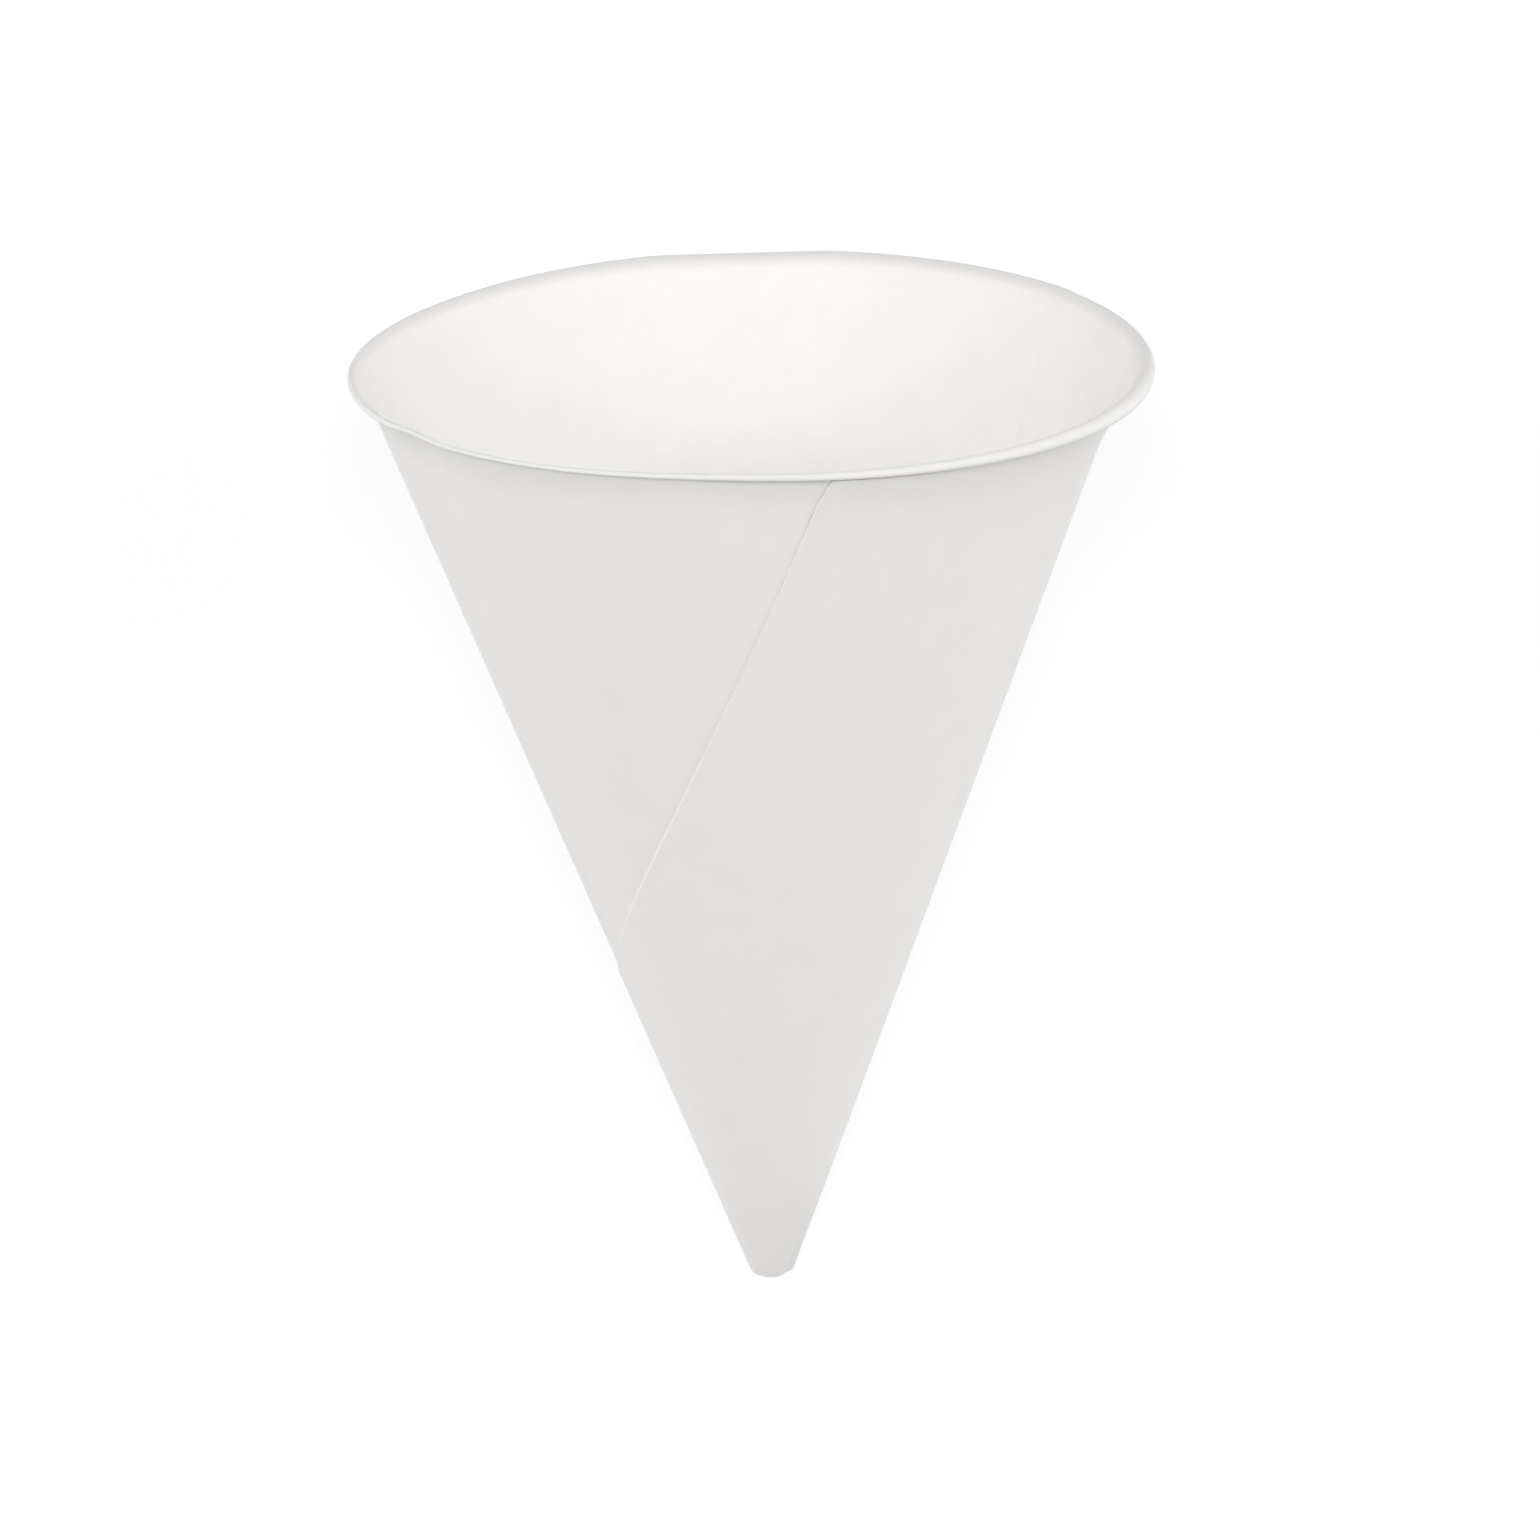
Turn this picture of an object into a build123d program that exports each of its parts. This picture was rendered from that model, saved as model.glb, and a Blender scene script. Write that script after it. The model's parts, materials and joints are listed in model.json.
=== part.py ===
from build123d import *
from math import acos, asin, atan2, cos, degrees, hypot, radians, sin, tan
import os

# Cone paper cup with a rolled lip, lying on its side as it comes to rest, in millimetres.
# One sheet of paper is wound into a cone with a glued lap, its mouth edge is flared and
# rolled outwards, and its point is folded in and pressed flat: one piece, one solid.
# The cup is wound mouth up on its own axis and laid down at the end. Angles round the
# axis are in degrees from the side that faces up when the cup lies. The soft paper is
# pressed a little flat along the side that it lies on, so the cup stays where it is put.

# Driving dimensions
rim_diameter = 74.0         # over the rolled lip
cup_height = 92.0           # along the axis, from the flat tip to the top of the lip
tip_diameter = 3.9          # across the blunt tip
lip_reach = 1.6             # how far the lip stands out past the straight wall
paper = 0.22                # thickness of one ply
roll_diameter = 1.6         # outside diameter of the rolled lip
roll_turn = 300.0           # how far round the edge is rolled
roll_flats = 10             # short flats that the edge is rolled in
flare_lean = 35.0           # lean of the wall, from the axis, where the roll starts
tip_floor = 0.9             # thickness of the folded point
tip_round = 0.5             # radius round the edge of the tip
inner_edge_angle = 122.0    # where the sheet starts, inside
seam_angle = 12.0           # where the sheet's outer edge meets the lip, outside
seam_distance = 30.0        # from the cone's point to the sheet's straight outer edge
rest_flat_width = 17.0      # of the flat side that the cup lies on, at the lip

# The straight wall. A ply is measured level too, because that is how far the turns step out.
rim_radius = rim_diameter / 2
tip_radius = tip_diameter / 2
wall_lean = degrees(atan2(rim_radius - lip_reach - tip_radius, cup_height))
wall_slope = tan(radians(wall_lean))
ply_step = paper / cos(radians(wall_lean))

# The middle line of the rolled lip, and the point where the flare runs into it
roll_radius = (roll_diameter - paper) / 2
roll_bottom_z = cup_height - roll_diameter
roll_centre_r = rim_radius - roll_diameter / 2
roll_centre_z = cup_height - roll_diameter / 2
flare_top_r = roll_centre_r - roll_radius * cos(radians(flare_lean))
flare_top_z = roll_centre_z + roll_radius * sin(radians(flare_lean))

# The flare is an arc from the straight wall into the roll, tangent to both
flare_turn = flare_lean - wall_lean
wall_start_r = tip_radius - ply_step
wall_to_flare = flare_top_r - wall_start_r - flare_top_z * wall_slope
flare_radius = wall_to_flare * cos(radians(wall_lean)) / (1 - cos(radians(flare_turn)))
wall_top_z = flare_top_z - flare_radius * (sin(radians(flare_lean)) - sin(radians(wall_lean)))
wall_top_r = wall_start_r + wall_top_z * wall_slope

# The lap's outer ply goes part of the way up the flare and stops under the roll
lap_top_sine = sin(radians(wall_lean)) + (roll_bottom_z - wall_top_z) / flare_radius
lap_flare_turn = degrees(asin(lap_top_sine)) - wall_lean

# A wound sheet grows by one ply a turn. As a spiral is drawn with compasses, each half turn
# is struck from one of two centres, a quarter of a ply to each side of the cup's axis.
# Winding angles are in degrees from the sheet's inner edge.
inner_edge_side = Vector(sin(radians(inner_edge_angle)), -cos(radians(inner_edge_angle)), 0)
strike_centres = (inner_edge_side * (-ply_step / 4), inner_edge_side * (ply_step / 4))

# The flat side narrows to nothing at the cone's point
flat_half_angle = degrees(asin(rest_flat_width / rim_diameter))
flat_start = inner_edge_angle + 180 - flat_half_angle
flat_end = inner_edge_angle + 180 + flat_half_angle


def roll_corner(flat, growth):
    """Where a flat of the roll starts, on its middle line; flat 0 starts at the flare's top."""
    angle = radians(180 - flare_lean - roll_turn * flat / roll_flats)
    return (
        roll_centre_r + growth + roll_radius * cos(angle),
        roll_centre_z + roll_radius * sin(angle),
    )


def sheet_section(winding, half_turn, rolled):
    """The sheet's section at a winding angle, drawn from the centre of a half turn."""
    outwards = inner_edge_side.rotate(Axis.Z, -winding)
    centre = strike_centres[half_turn % 2]
    growth = ply_step * (half_turn / 2 - 0.25)
    wall_foot = (wall_start_r + growth, 0)
    wall_top = (wall_top_r + growth, wall_top_z)
    with BuildSketch(Plane(centre, outwards, outwards.cross(Vector(0, 0, 1)))) as section:
        with BuildLine():
            wall = Line(wall_foot, wall_top)
            if rolled:
                JernArc(wall @ 1, wall % 1, flare_radius, -flare_turn)
                Polyline(*[roll_corner(flat, growth) for flat in range(roll_flats + 1)])
            else:
                JernArc(wall @ 1, wall % 1, flare_radius, -lap_flare_turn)
        trace(line_width=paper)
    return section.sketch


def wind_round(half_turn, start, end, rolled=True):
    """Add a round stretch of the sheet to the part that is being built."""
    section = sheet_section(start, half_turn, rolled)
    axis = Axis(strike_centres[half_turn % 2], (0, 0, -1))
    revolve(section, axis=axis, revolution_arc=end - start)


def wind_flat(half_turn, rolled=True):
    """Add the stretch of the sheet that is pressed flat."""
    loft([sheet_section(side, half_turn, rolled) for side in (flat_start, flat_end)], ruled=True)


# First turn of the sheet, from its inner edge all the way round, with the rolled lip
with BuildPart() as first_turn:
    wind_round(0, 0, 180)
    wind_round(1, 180, flat_start)
    wind_flat(1)
    wind_round(1, flat_end, 360)

# The sheet's outer edge is cut straight, so on the cone it is a spiral. A point of it is
# given by its distance along that edge from the place nearest to the cone's point.
cone_point_z = -tip_radius / wall_slope
lip_slant = (cup_height - cone_point_z) / cos(radians(wall_lean))
lip_turn = degrees(acos(seam_distance / lip_slant))
lip_along = lip_slant * sin(radians(lip_turn))
seam_reach = 2 * roll_diameter
seam_spans = 10


def seam_point(along, outwards):
    """A point of the outer edge, moved level, outwards from the wall."""
    slant = hypot(seam_distance, along)
    turn = degrees(atan2(along, seam_distance)) - lip_turn
    angle = radians(seam_angle + turn / sin(radians(wall_lean)))
    radius = slant * sin(radians(wall_lean)) + outwards
    return (radius * sin(angle), -radius * cos(angle), cone_point_z + slant * cos(radians(wall_lean)))


seam_places = [-0.5, *range(seam_spans + 1), seam_spans + 0.5]
seam_alongs = [lip_along * place / seam_spans for place in seam_places]
seam_inside = Spline(*[seam_point(along, -seam_reach) for along in seam_alongs])
seam_outside = Spline(*[seam_point(along, seam_reach) for along in seam_alongs])
seam_cut = Face.make_surface_from_curves(seam_inside, seam_outside)

# The second turn lies outside the first one. It reaches up to the sheet's straight outer
# edge, and round to the far side of the flat.
with BuildPart() as second_turn:
    wind_round(2, 0, 180, rolled=False)
    wind_round(3, 180, flat_start, rolled=False)
    wind_flat(3, rolled=False)
    split(bisect_by=seam_cut, keep=Keep.TOP)

# The turns are glued into one piece, the folded point closes it, and the tip is pressed
# flat. Its edge is rounded by taking away the ring outside a quarter circle.
tip_edge_r = tip_radius + ply_step + tip_round * wall_slope
with BuildPart() as cone_cup:
    add(first_turn.part)
    add(second_turn.part)
    with BuildSketch(Plane.XZ):
        with BuildLine():
            wall_above_floor = (wall_start_r + tip_floor * wall_slope, tip_floor)
            Polyline((0, 0), (wall_start_r, 0), wall_above_floor, (0, tip_floor), close=True)
        make_face()
    revolve(axis=Axis.Z)
    split(bisect_by=Plane.XY, keep=Keep.TOP)
    with BuildSketch(Plane.XZ):
        with BuildLine():
            flat = Line((tip_edge_r - tip_round, 0), (tip_edge_r + tip_round, 0))
            outside = Line(flat @ 1, (tip_edge_r + tip_round, tip_round))
            above = Line(outside @ 1, (tip_edge_r, tip_round))
            RadiusArc(above @ 1, flat @ 0, tip_round)
        make_face()
    revolve(axis=Axis.Z, mode=Mode.SUBTRACT)

# The cup lies on its lip and on the edge of its tip, with the mouth to the back. There the
# turn that carries the roll has stepped out by a quarter of a ply, and the flat side brings
# both nearer to the axis.
tip_to_lip_r = (roll_centre_r + ply_step / 4 - tip_edge_r) * cos(radians(flat_half_angle))
tip_to_lip_r += tip_round
tip_to_lip_z = roll_centre_z - tip_round
rest_lean = degrees(atan2(tip_to_lip_r, tip_to_lip_z))
rest_lean += degrees(asin((roll_diameter / 2 - tip_round) / hypot(tip_to_lip_r, tip_to_lip_z)))
lying = cone_cup.part.rotate(Axis.X, rest_lean - 90)
box = lying.bounding_box()
lying = lying.translate((-box.center().X, -box.center().Y, -box.min.Z))
lying.label = "cone_cup"

os.makedirs("parts", exist_ok=True)
export_step(lying, "parts/cone_cup.step")
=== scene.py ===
import json
from math import acos, atan, cos, degrees, pi, radians, sin

import bpy
import numpy as np
from mathutils import Matrix, Vector


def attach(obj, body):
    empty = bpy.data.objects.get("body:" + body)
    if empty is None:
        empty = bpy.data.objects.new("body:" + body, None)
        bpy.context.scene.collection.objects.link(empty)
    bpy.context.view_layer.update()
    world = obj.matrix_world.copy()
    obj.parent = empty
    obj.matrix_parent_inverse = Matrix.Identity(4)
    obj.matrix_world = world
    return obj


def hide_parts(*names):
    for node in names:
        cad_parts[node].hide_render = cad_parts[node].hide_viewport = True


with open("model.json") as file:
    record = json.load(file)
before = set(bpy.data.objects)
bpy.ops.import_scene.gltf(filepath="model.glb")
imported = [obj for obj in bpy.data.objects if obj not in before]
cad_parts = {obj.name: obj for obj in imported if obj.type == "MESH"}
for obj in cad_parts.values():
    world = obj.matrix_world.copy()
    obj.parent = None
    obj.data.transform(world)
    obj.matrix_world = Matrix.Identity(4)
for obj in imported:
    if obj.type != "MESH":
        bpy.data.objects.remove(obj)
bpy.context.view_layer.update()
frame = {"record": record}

# The cup is one sheet of smooth white paper, wound into a cone with a wide glued lap. Its
# mouth edge is flared and rolled outwards into a small bead, and its point is turned in and
# pressed flat. It is drawn mouth up on its own axis, and then laid on its side.
mm = 0.001
rim_radius = 37.0 * mm
cup_height = 92.0 * mm
tip_radius = 1.95 * mm
lip_reach = 1.4 * mm            # how far the lip stands out past the straight wall
paper = 0.22 * mm               # thickness of one ply
glue_film = 0.01 * mm           # between two plies
tip_round = 0.5 * mm            # radius round the edge of the tip
inner_edge_angle = 122.0        # degrees round the axis from the side that faces up
seam_angle = 12.0               # where the sheet's outer edge meets the lip
seam_distance = 30.0 * mm       # from the cone's point to the sheet's straight outer edge
rest_flat_width = 17.0 * mm     # of the side that the cup lies on, at the lip

wall_slope = (rim_radius - lip_reach - tip_radius) / cup_height
wall_lean = atan(wall_slope)
ply_step = paper / cos(wall_lean)
wall_start_r = tip_radius - ply_step
point_to_tip = tip_radius / sin(wall_lean)

# The lip is uneven, as soft paper is. Each of its swells has a size, a middle and half a
# width, the last two in degrees round the axis.
bead_size = 1.05 * mm           # how thick it is
bead_swells = [(-0.6 * mm, -35, 60), (0.5 * mm, 75, 35)]
mouth_shift = 0.4 * mm          # of the whole mouth, to the right
reach_swells = [(-0.4 * mm, -15, 42), (0.8 * mm, 70, 28), (0.2 * mm, -72, 25)]
mouth_drop = 0.25 * mm          # of its right side, with as much of a rise on its left
rise_swells = [(0.3 * mm, -15, 42), (0.25 * mm, -5, 18), (-0.25 * mm, 50, 25)]
rise_swells += [(0.3 * mm, -56, 5), (-0.3 * mm, -125, 28)]
flare_lean = 35                 # degrees from the axis, where the bead starts
lean_swells = [(45, 180, 70)]
roll_end = radians(320)         # how far the paper has turned from upright at its rolled edge


def bump(azimuth, middle, half_width):
    """A smooth swell round the axis, 1 in its middle and almost 0 past twice its half width."""
    away = (azimuth - middle + 180) % 360 - 180
    return np.exp(-((away / half_width) ** 2))


def swells(azimuth, rows):
    """What several swells add up to at one place round the axis."""
    return sum(size * bump(azimuth, middle, half_width) for size, middle, half_width in rows)


def lip_shape(azimuth):
    """The flare and the bead at its top, as they differ round the mouth."""
    sideways = np.sin(np.radians(azimuth))
    bead = bead_size + swells(azimuth, bead_swells)
    reach = mouth_shift * sideways + swells(azimuth, reach_swells)
    rise = swells(azimuth, rise_swells) - mouth_drop * sideways
    lean = np.radians(flare_lean + swells(azimuth, lean_swells))
    roll_radius = (bead - paper) / 2
    middle_r = rim_radius + reach - bead / 2
    middle_z = cup_height + rise - bead / 2
    flare_top_r = middle_r - roll_radius * np.cos(lean)
    flare_top_z = middle_z + roll_radius * np.sin(lean)
    stand_out = flare_top_r - wall_start_r - flare_top_z * wall_slope
    flare_radius = stand_out * cos(wall_lean) / (1 - np.cos(lean - wall_lean))
    wall_top_z = flare_top_z - flare_radius * (np.sin(lean) - sin(wall_lean))
    return lean, roll_radius, middle_r, middle_z, flare_radius, wall_top_z


def paper_lengths(azimuth):
    """How far up the paper the wall, the flare and the roll end, from the tip."""
    lean, roll_radius, middle_r, middle_z, flare_radius, wall_top_z = lip_shape(azimuth)
    wall_end = wall_top_z / cos(wall_lean)
    flare_end = wall_end + flare_radius * (lean - wall_lean)
    return wall_end, flare_end, flare_end + roll_radius * (roll_end - lean)


# The tip has been pushed in on its right. A painted shade, from 0 to 1, makes the paper's
# colour greyer where plies lie together and less light would get through: at the tip, where
# they crowd, and on the crown of the lip, where they are rolled up.
pinch_swells = [(0.4 * mm, 52, 24)]
pinch_length = 7 * mm
painted_tip_shade = 0.4
painted_tip_shade_swells = [(0.5, 55, 35)]
painted_tip_shade_length = 9 * mm
crown_band = 0.5 * mm           # below the crown, in which the shade sets in
crown_band_swells = [(1.3 * mm, 180, 60)]
roll_shade_start = 0.25         # share of the roll past which the shade fades
roll_shade_fade = 0.4           # share of the roll over which it fades out
painted_shade_weak_swells = [(0.7, 65, 35), (0.7, -85, 28)]       # where the painted shade is weaker


def fading(height, length):
    """1 at the tip, and almost 0 from twice a length up."""
    return np.exp(-((height / length) ** 2))


def pinched(azimuth, height):
    """How far the tip has been pushed in, the most at its end."""
    return swells(azimuth, pinch_swells) * fading(height, pinch_length)


def painted_shade_at_tip(azimuth, height):
    """The painted shade where the plies of the tip crowd, the most at its end."""
    return (painted_tip_shade + swells(azimuth, painted_tip_shade_swells)) * fading(height, painted_tip_shade_length)


def painted_shade_of_paper(azimuth, along):
    """The painted shade at the tip and on the crown of the lip, less towards its left and front right.
    """
    wall_end, flare_end, edge = paper_lengths(azimuth)
    band = crown_band + swells(azimuth, crown_band_swells)
    below_crown = np.clip((flare_end - along) / band, 0, 1)
    rolled = (along - flare_end) / (edge - flare_end)
    past_crown = np.clip((rolled - roll_shade_start) / roll_shade_fade, 0, 1)
    painted_shade_strength = 1 - swells(azimuth, painted_shade_weak_swells)
    return painted_shade_strength * (1 - below_crown ** 2) * (1 - past_crown) + painted_shade_at_tip(azimuth, along)


# The side that the cup lies on is pressed flat, from the lip down to the point. How deep the
# flat lies inside the round wall is a share of the radius, with a soft change at both sides.
flat_half_angle = np.arcsin(rest_flat_width / 2 / rim_radius)
flat_softness = 0.002


def round_the_axis(azimuth, radius, height):
    """A point at a radius and height, moved in where the side is pressed flat."""
    from_flat = np.radians(azimuth % 360 - 180)
    depth = (flat_half_angle ** 2 - from_flat ** 2) / 2
    pressed = radius * (1 - flat_softness * np.logaddexp(0, depth / flat_softness))
    turn = np.radians(azimuth)
    return np.stack([pressed * np.sin(turn), -pressed * np.cos(turn), height], axis=-1)


def on_the_cup(winding, along):
    """A point in the middle of the paper, given by how far it is round and up the sheet."""
    azimuth = inner_edge_angle - winding
    top_lean, roll_radius, middle_r, middle_z, flare_radius, wall_top_z = lip_shape(azimuth)
    wall_end, flare_end, edge = paper_lengths(azimuth)
    on_wall = np.minimum(along, wall_end)
    lean = wall_lean + np.clip((along - wall_end) / flare_radius, 0, top_lean - wall_lean)
    turned = pi - top_lean - (along - flare_end) / roll_radius
    in_roll = along > flare_end
    radius = wall_start_r + on_wall * sin(wall_lean) + flare_radius * (cos(wall_lean) - np.cos(lean))
    height = on_wall * cos(wall_lean) + flare_radius * (np.sin(lean) - sin(wall_lean))
    radius = np.where(in_roll, middle_r + roll_radius * np.cos(turned), radius)
    height = np.where(in_roll, middle_z + roll_radius * np.sin(turned), height)
    radius = radius + ply_step * (winding / 360 - 0.5) - pinched(azimuth, height)
    return round_the_axis(azimuth, radius, height)


# The sheet is laid out in columns up the cup. First the turn that carries the roll, then the
# lap over it, whose top runs along the flare and then down the sheet's straight outer edge.
column_turn = 2.0               # degrees of winding from one column to the next
turn_columns = round(360 / column_turn)
lap_end = inner_edge_angle + 180 + degrees(flat_half_angle) + 360
lap_columns = round((lap_end - 360) / column_turn)
wall_rows = 40
flare_rows = 8
roll_rows = 18
lap_flare_rows = 7              # how many of the flare's rows the lap covers
lap_rows = wall_rows + lap_flare_rows
edge_band = 0.12 * mm           # the lap's last row, which keeps the tone of its edge narrow
curl_z = tip_round              # height of the middle of the curl round the tip
curl_radius = tip_round - paper / 2
first_along = (curl_z - curl_radius * sin(wall_lean)) / cos(wall_lean)
slant_at_lip = point_to_tip + cup_height / cos(wall_lean)
turn_at_lip = degrees(acos(seam_distance / slant_at_lip))   # of the seam, on the flat sheet


def column_alongs(winding):
    """How far up the paper the points of a column of the first turn are."""
    wall_end, flare_end, edge = paper_lengths(inner_edge_angle - winding)
    return np.concatenate([
        np.linspace(first_along, wall_end, wall_rows + 1),
        np.linspace(wall_end, flare_end, flare_rows + 1)[1:],
        np.linspace(flare_end, edge, roll_rows + 1)[1:],
    ])


def lap_top(winding):
    """How far up the paper the lap's column ends."""
    azimuth = inner_edge_angle - (winding - 360)
    lip_top = column_alongs(winding)[lap_rows]
    turn = turn_at_lip + (azimuth - seam_angle) * sin(wall_lean)
    if turn >= turn_at_lip:
        return lip_top
    return min(lip_top, seam_distance / cos(radians(turn)) - point_to_tip)


points = []
painted_shades = []
sheet_places = []
faces = []


def add_column(winding, alongs):
    """Add points up the cup, with their painted shade values and places on the flat sheet; gives their
    numbers.
    """
    first = len(points)
    points.extend(on_the_cup(winding, alongs))
    painted_shades.extend(painted_shade_of_paper(inner_edge_angle - winding, alongs))
    fan = radians(winding) * sin(wall_lean)
    slants = point_to_tip + alongs
    sheet_places.extend(zip(slants * cos(fan), slants * sin(fan)))
    return list(range(first, len(points)))


def join_columns(left, right):
    """Faces between two neighbouring columns, with their outer side outwards."""
    for row in range(min(len(left), len(right)) - 1):
        faces.append((left[row], left[row + 1], right[row + 1], right[row]))


columns = [add_column(i * column_turn, column_alongs(i * column_turn)) for i in range(turn_columns + 1)]
for left, right in zip(columns, columns[1:]):
    join_columns(left, right)

start_alongs = column_alongs(360.0)[:lap_rows + 1]
row_shares = (start_alongs - first_along) / (start_alongs[-1] - first_along)
lap = [columns[-1][:lap_rows + 1]]
for i in range(1, lap_columns + 1):
    winding = 360 + i * column_turn
    alongs = first_along + row_shares * (lap_top(winding) - first_along)
    alongs[-2] = alongs[-1] - edge_band
    lap.append(add_column(winding, alongs))
    join_columns(lap[-2], lap[-1])

# At the tip the outermost turn curls in and closes, with small pleats where it is pressed flat
outermost = (columns[:-1] + lap)[-turn_columns - 1:]
curl_steps = 4
curl_middle_r = wall_start_r + first_along * sin(wall_lean) - curl_radius * cos(wall_lean)
flat_shares = (0.62, 0.3)       # of the curl's radius, where the closed paper has its points
pleats = 9
pleat_height = 0.07 * mm
pleat_twist = 5                 # radians of a pleat's wave, for each whole radius


def add_tip_point(azimuth, radius, height, sheet_place):
    """Add a point where the paper turns in at the tip; gives its number."""
    points.append(round_the_axis(azimuth, radius, height))
    painted_shades.append(painted_shade_at_tip(azimuth, 0))
    sheet_places.append(sheet_place)
    return len(points) - 1


closing = []
for i, column in enumerate(outermost):
    winding = lap_end - 360 + i * column_turn
    azimuth = inner_edge_angle - winding
    growth = ply_step * (winding / 360 - 0.5)
    turned_in = [column[0]]
    for step in range(1, curl_steps + 1):
        angle = -wall_lean - (pi / 2 - wall_lean) * step / curl_steps
        radius = curl_middle_r + growth + curl_radius * cos(angle) - pinched(azimuth, 0)
        sheet_place = (point_to_tip, radians(winding) * point_to_tip * sin(wall_lean))
        turned_in.append(add_tip_point(azimuth, radius, curl_z + curl_radius * sin(angle), sheet_place))
    if i < turn_columns:
        for share in flat_shares:
            wave = 1 + cos(radians(azimuth * pleats) + pleat_twist * share)
            radius = share * (curl_middle_r + ply_step - pinched(azimuth, 0))
            height = paper / 2 + pleat_height * wave * share
            sheet_place = (point_to_tip * share, radians(winding) * radius)
            turned_in.append(add_tip_point(azimuth, radius, height, sheet_place))
    else:
        turned_in += closing[0][-len(flat_shares):]
    closing.append(turned_in)
points.append(Vector((0, 0, paper / 2)))
painted_shades.append(painted_tip_shade)
sheet_places.append((0, 0))
for left, right in zip(closing, closing[1:]):
    join_columns(right, left)
    faces.append((left[-1], right[-1], len(points) - 1))

# Where the cup lies: the record's mount is on the axis, 60 mm up from the tip
mount = frame["record"]["mounts"][0]
mount_height = 60 * mm
along_axis = Vector(mount["axis"])
upwards = Vector((0, -along_axis.z, along_axis.y))
lay_down = Matrix((Vector((1, 0, 0)), -upwards, along_axis)).transposed().to_4x4()
lay_down.translation = Vector(mount["pos_m"]) - mount_height * along_axis

sheet_mesh = bpy.data.meshes.new("paper_cup")
sheet_mesh.from_pydata([Vector(point) for point in points], [], faces)
sheet_mesh.transform(lay_down)
inner_edge_mark = 0.88          # it shows less than the other cut edges, which have 1
cut_edge = sheet_mesh.attributes.new("cut_edge", "FLOAT", "POINT")
for column in columns[1:] + lap:
    cut_edge.data[column[-1]].value = 1
for number in lap[-1]:
    cut_edge.data[number].value = 1
for number in columns[0]:
    cut_edge.data[number].value = inner_edge_mark
# Painted shade: a mark of how much darker the paper's colour is made at the tip and on the crown of the
# lip
painted_shade_mask = sheet_mesh.attributes.new("painted_shade_mask", "FLOAT", "POINT")
for number, shade in enumerate(painted_shades):
    painted_shade_mask.data[number].value = shade
flat_sheet = sheet_mesh.uv_layers.new(name="flat_sheet")
for loop in sheet_mesh.loops:
    flat_sheet.data[loop.index].uv = sheet_places[loop.vertex_index]

# The sheet gets the thickness of its paper, and only its cut edges stay sharp
paper_cup = bpy.data.objects.new("paper_cup", sheet_mesh)
bpy.context.scene.collection.objects.link(paper_cup)
thicken = paper_cup.modifiers.new("ply", "SOLIDIFY")
thicken.thickness = paper - glue_film
thicken.offset = 0
thicken.use_even_offset = True
thickened = paper_cup.evaluated_get(bpy.context.evaluated_depsgraph_get())
cup_mesh = bpy.data.meshes.new_from_object(thickened)
paper_cup.modifiers.clear()
paper_cup.data = cup_mesh
cup_mesh.name = "paper_cup"
for polygon in cup_mesh.polygons:
    polygon.use_smooth = True
cup_mesh.set_sharp_from_angle(angle=radians(40))

# Cup stock: short fibres lying every way, cloudy where they are thicker, smooth to the touch.
# Its patterns lie on the flat sheet, in metres.
cup_paper = bpy.data.materials.new("cup_paper")
cup_paper.use_nodes = True
paper_nodes = cup_paper.node_tree.nodes
paper_links = cup_paper.node_tree.links
shader = paper_nodes["Principled BSDF"]
shader.inputs["Specular IOR Level"].default_value = 0.35
on_the_sheet = paper_nodes.new("ShaderNodeUVMap")
on_the_sheet.uv_map = "flat_sheet"

# Four layers of fibres, each with its direction in radians and its length
fibre_layers = [(0.2, 1.6 * mm), (1.1, 1.2 * mm), (2.0, 1.4 * mm), (2.7, 1.1 * mm)]
fibre_width = 0.22 * mm         # as the scale of the strands gives it
layer_shift = Vector((0.013, 0.029, 0))
fibre_height = None
for number, (direction, length) in enumerate(fibre_layers):
    stretch = paper_nodes.new("ShaderNodeMapping")
    stretch.inputs["Rotation"].default_value = (0, 0, direction)
    stretch.inputs["Scale"].default_value = (fibre_width / length, 1, 1)
    stretch.inputs["Location"].default_value = layer_shift * number
    paper_links.new(on_the_sheet.outputs["UV"], stretch.inputs["Vector"])
    strands = paper_nodes.new("ShaderNodeTexNoise")
    strands.inputs["Scale"].default_value = 4500
    strands.inputs["Detail"].default_value = 3
    strands.inputs["Roughness"].default_value = 0.55
    strands.inputs["Distortion"].default_value = 0.4
    paper_links.new(stretch.outputs["Vector"], strands.inputs["Vector"])
    if fibre_height is None:
        fibre_height = strands.outputs["Fac"]
    else:
        above = paper_nodes.new("ShaderNodeMath")
        above.operation = "MAXIMUM"
        paper_links.new(fibre_height, above.inputs[0])
        paper_links.new(strands.outputs["Fac"], above.inputs[1])
        fibre_height = above.outputs["Value"]

clouds = paper_nodes.new("ShaderNodeTexNoise")
clouds.inputs["Scale"].default_value = 260
clouds.inputs["Detail"].default_value = 5
clouds.inputs["Roughness"].default_value = 0.6
paper_links.new(on_the_sheet.outputs["UV"], clouds.inputs["Vector"])
stock_tone = paper_nodes.new("ShaderNodeValToRGB")
stock_tone.color_ramp.elements[0].position = 0.3
stock_tone.color_ramp.elements[0].color = (0.908, 0.896, 0.880, 1)
stock_tone.color_ramp.elements[1].position = 0.7
stock_tone.color_ramp.elements[1].color = (0.928, 0.916, 0.900, 1)
paper_links.new(clouds.outputs["Fac"], stock_tone.inputs["Fac"])


def marked_places(attribute_name):
    """A mark that was put on the points of the mesh."""
    mark = paper_nodes.new("ShaderNodeAttribute")
    mark.attribute_name = attribute_name
    return mark.outputs["Fac"]


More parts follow.
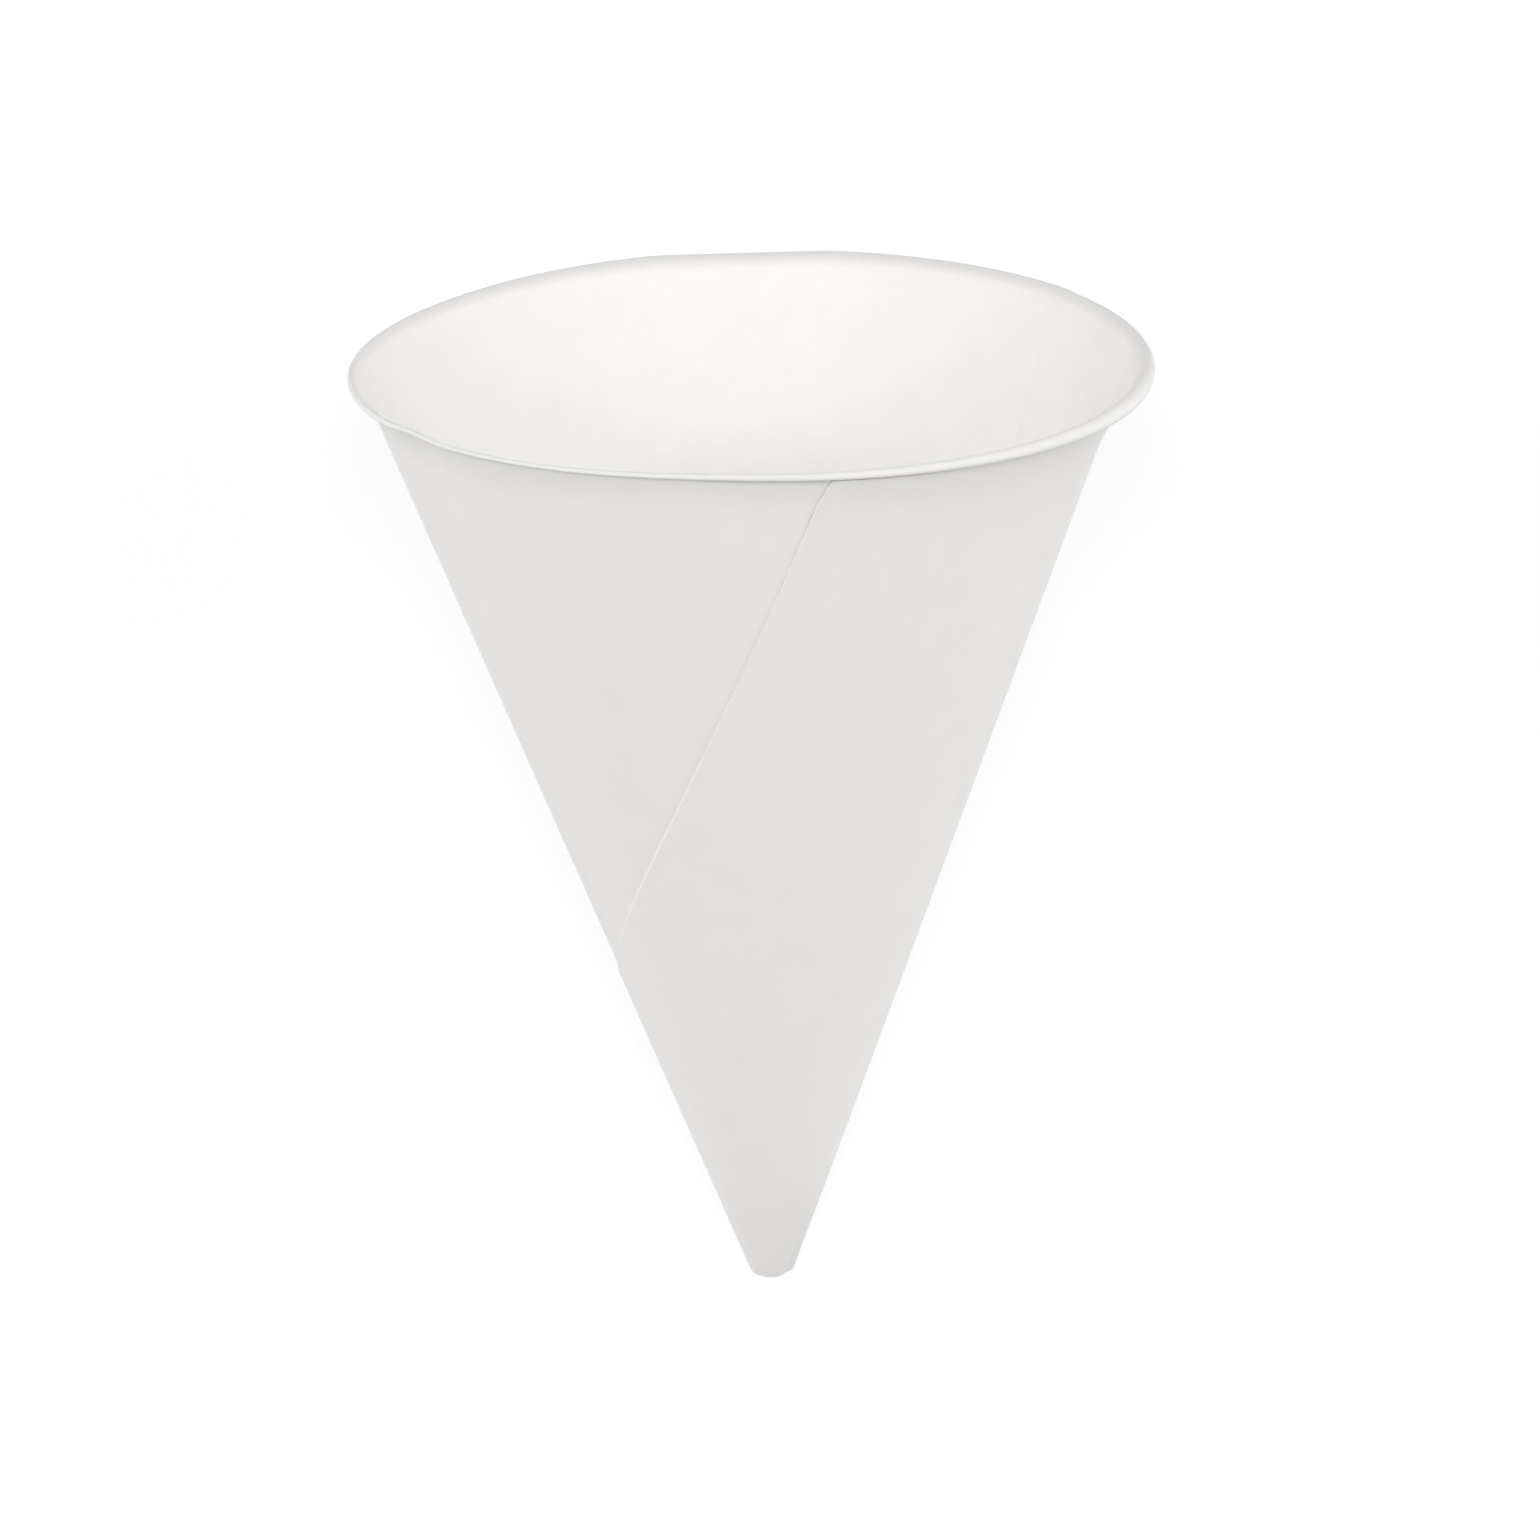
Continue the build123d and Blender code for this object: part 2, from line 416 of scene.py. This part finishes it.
def lay_tone(below, tone, blend_type, where):
    """Lay a tone over another; the colour sockets of a mix node are inputs 6 and 7 and output 2."""
    mix = paper_nodes.new("ShaderNodeMix")
    mix.data_type = "RGBA"
    mix.blend_type = blend_type
    paper_links.new(where, mix.inputs["Factor"])
    paper_links.new(below, mix.inputs[6])
    mix.inputs[7].default_value = tone
    return mix.outputs[2]


# A high power of the edge's mark draws its tone together into a thin line
edge_line = paper_nodes.new("ShaderNodeMath")
edge_line.operation = "POWER"
edge_line.inputs[1].default_value = 8
paper_links.new(marked_places("cut_edge"), edge_line.inputs[0])
# The painted shade multiplies the stock's colour darker at the tip and on the crown of the lip
painted_shade_tone = (0.86, 0.86, 0.865, 1)
edge_tone = (0.80, 0.79, 0.77, 1)
shaded = lay_tone(stock_tone.outputs["Color"], painted_shade_tone, "MULTIPLY", marked_places("painted_shade_mask"))
edged = lay_tone(shaded, edge_tone, "MIX", edge_line.outputs["Value"])
paper_links.new(edged, shader.inputs["Base Color"])

dullness = paper_nodes.new("ShaderNodeMapRange")
dullness.inputs["From Min"].default_value = 0.35
dullness.inputs["From Max"].default_value = 0.75
dullness.inputs["To Min"].default_value = 0.72
dullness.inputs["To Max"].default_value = 0.6
paper_links.new(fibre_height, dullness.inputs["Value"])
paper_links.new(dullness.outputs["Result"], shader.inputs["Roughness"])
relief = paper_nodes.new("ShaderNodeBump")
relief.inputs["Strength"].default_value = 0.35
relief.inputs["Distance"].default_value = 0.02 * mm
paper_links.new(fibre_height, relief.inputs["Height"])
paper_links.new(relief.outputs["Normal"], shader.inputs["Normal"])

cup_mesh.materials.append(cup_paper)
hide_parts("cone_cup")
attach(paper_cup, "root")

# The floor is a plain white table top, matt, wide enough to fill every view. The camera sees
# it bleached nearly to white, with the cup's shadow kept.
floor_reach = 3.0
floor_corners = [(x * floor_reach, y * floor_reach, 0) for x, y in [(-1, -1), (1, -1), (1, 1), (-1, 1)]]
floor_mesh = bpy.data.meshes.new("floor")
floor_mesh.from_pydata(floor_corners, [], [(0, 1, 2, 3)])
floor = bpy.data.objects.new("floor", floor_mesh)
bpy.context.scene.collection.objects.link(floor)
white_table = bpy.data.materials.new("white_table")
white_table.use_nodes = True
table_nodes = white_table.node_tree.nodes
table_links = white_table.node_tree.links
matt = table_nodes["Principled BSDF"]
matt.inputs["Base Color"].default_value = (0.7, 0.7, 0.7, 1)
matt.inputs["Roughness"].default_value = 0.9
matt.inputs["Specular IOR Level"].default_value = 0.0


def seen_directly(tree):
    """1 for what the camera sees, straight or mirrored, and 0 for light on its way."""
    rays = tree.nodes.new("ShaderNodeLightPath")
    total = rays.outputs["Is Camera Ray"]
    for kind in ("Is Glossy Ray", "Is Transmission Ray"):
        seen = tree.nodes.new("ShaderNodeMath")
        seen.operation = "ADD"
        seen.use_clamp = True
        tree.links.new(total, seen.inputs[0])
        tree.links.new(rays.outputs[kind], seen.inputs[1])
        total = seen.outputs["Value"]
    return total


bleach = table_nodes.new("ShaderNodeMath")
bleach.operation = "MULTIPLY"
bleach.inputs[1].default_value = 0.7
table_links.new(seen_directly(white_table.node_tree), bleach.inputs[0])
glow = table_nodes.new("ShaderNodeEmission")
glow.inputs["Strength"].default_value = 1.18
bleached = table_nodes.new("ShaderNodeMixShader")
table_links.new(bleach.outputs["Value"], bleached.inputs["Fac"])
table_links.new(matt.outputs["BSDF"], bleached.inputs[1])
table_links.new(glow.outputs["Emission"], bleached.inputs[2])
table_links.new(bleached.outputs["Shader"], table_nodes["Material Output"].inputs["Surface"])
floor_mesh.materials.append(white_table)

# Soft studio light: a pale room whose bright walls are to both sides of the cup, a lamp high
# over the mouth that lights all of the inside, and two weaker lamps that open up its sides.
# The room's light grows with the square of how far sideways it comes from, and the camera
# sees plain white instead.
pale_room = bpy.data.worlds.new("pale_room")
bpy.context.scene.world = pale_room
pale_room.use_nodes = True
room_nodes = pale_room.node_tree.nodes
room_links = pale_room.node_tree.links
room = room_nodes["Background"]
room.inputs["Color"].default_value = (1, 1, 1, 1)
light_direction = room_nodes.new("ShaderNodeTexCoord")
direction_parts = room_nodes.new("ShaderNodeSeparateXYZ")
room_links.new(light_direction.outputs["Generated"], direction_parts.inputs["Vector"])
sideways_squared = room_nodes.new("ShaderNodeMath")
sideways_squared.operation = "MULTIPLY"
for factor in sideways_squared.inputs[:2]:
    room_links.new(direction_parts.outputs["X"], factor)
wall_light = room_nodes.new("ShaderNodeMath")
wall_light.operation = "MULTIPLY"
wall_light.inputs[1].default_value = 1.74
room_links.new(sideways_squared.outputs["Value"], wall_light.inputs[0])
room_light = room_nodes.new("ShaderNodeMapRange")
room_light.inputs["To Max"].default_value = 1.0
room_links.new(seen_directly(pale_room.node_tree), room_light.inputs["Value"])
room_links.new(wall_light.outputs["Value"], room_light.inputs["To Min"])
room_links.new(room_light.outputs["Result"], room.inputs["Strength"])

lit_place = Vector((0, 0, 0.03))
lamp_size = 0.3
for lamp_name, lamp_place, watts in [
    ("top_lamp", (0, 0.22, 1.22), 4.85),
    ("left_lamp", (-0.77, 0.17, 0.93), 2.15),
    ("right_lamp", (0.77, 0.17, 0.93), 2.5),
]:
    soft_box = bpy.data.lights.new(lamp_name, "AREA")
    soft_box.shape = "SQUARE"
    soft_box.size = lamp_size
    soft_box.energy = watts
    lamp = bpy.data.objects.new(lamp_name, soft_box)
    bpy.context.scene.collection.objects.link(lamp)
    lamp.location = lamp_place
    lamp.rotation_euler = (lit_place - lamp.location).to_track_quat("-Z", "Y").to_euler()

# The camera looks almost straight down on the cup as it lies, which is a view from a little
# above the lip when the mouth is up. Its place is given on the upright cup and laid down too.
camera_height = radians(20.13)
camera_roll = radians(1.75)
camera_distance = 680 * mm
aim = Vector((1.18 * mm, 0, 51.51 * mm))
backwards = Vector((0, -cos(camera_height), sin(camera_height)))
level_up = Vector((0, sin(camera_height), cos(camera_height)))
level_right = Vector((1, 0, 0))
right = level_right * cos(camera_roll) - level_up * sin(camera_roll)
top = level_right * sin(camera_roll) + level_up * cos(camera_roll)
held = Matrix((right, top, backwards)).transposed().to_4x4()
held.translation = aim + camera_distance * backwards
camera_data = bpy.data.cameras.new("camera")
camera_data.sensor_width = 36
camera_data.lens = 168.4
camera = bpy.data.objects.new("camera", camera_data)
bpy.context.scene.collection.objects.link(camera)
camera.matrix_world = lay_down @ held
bpy.context.scene.camera = camera
bpy.context.scene.view_settings.view_transform = "Standard"
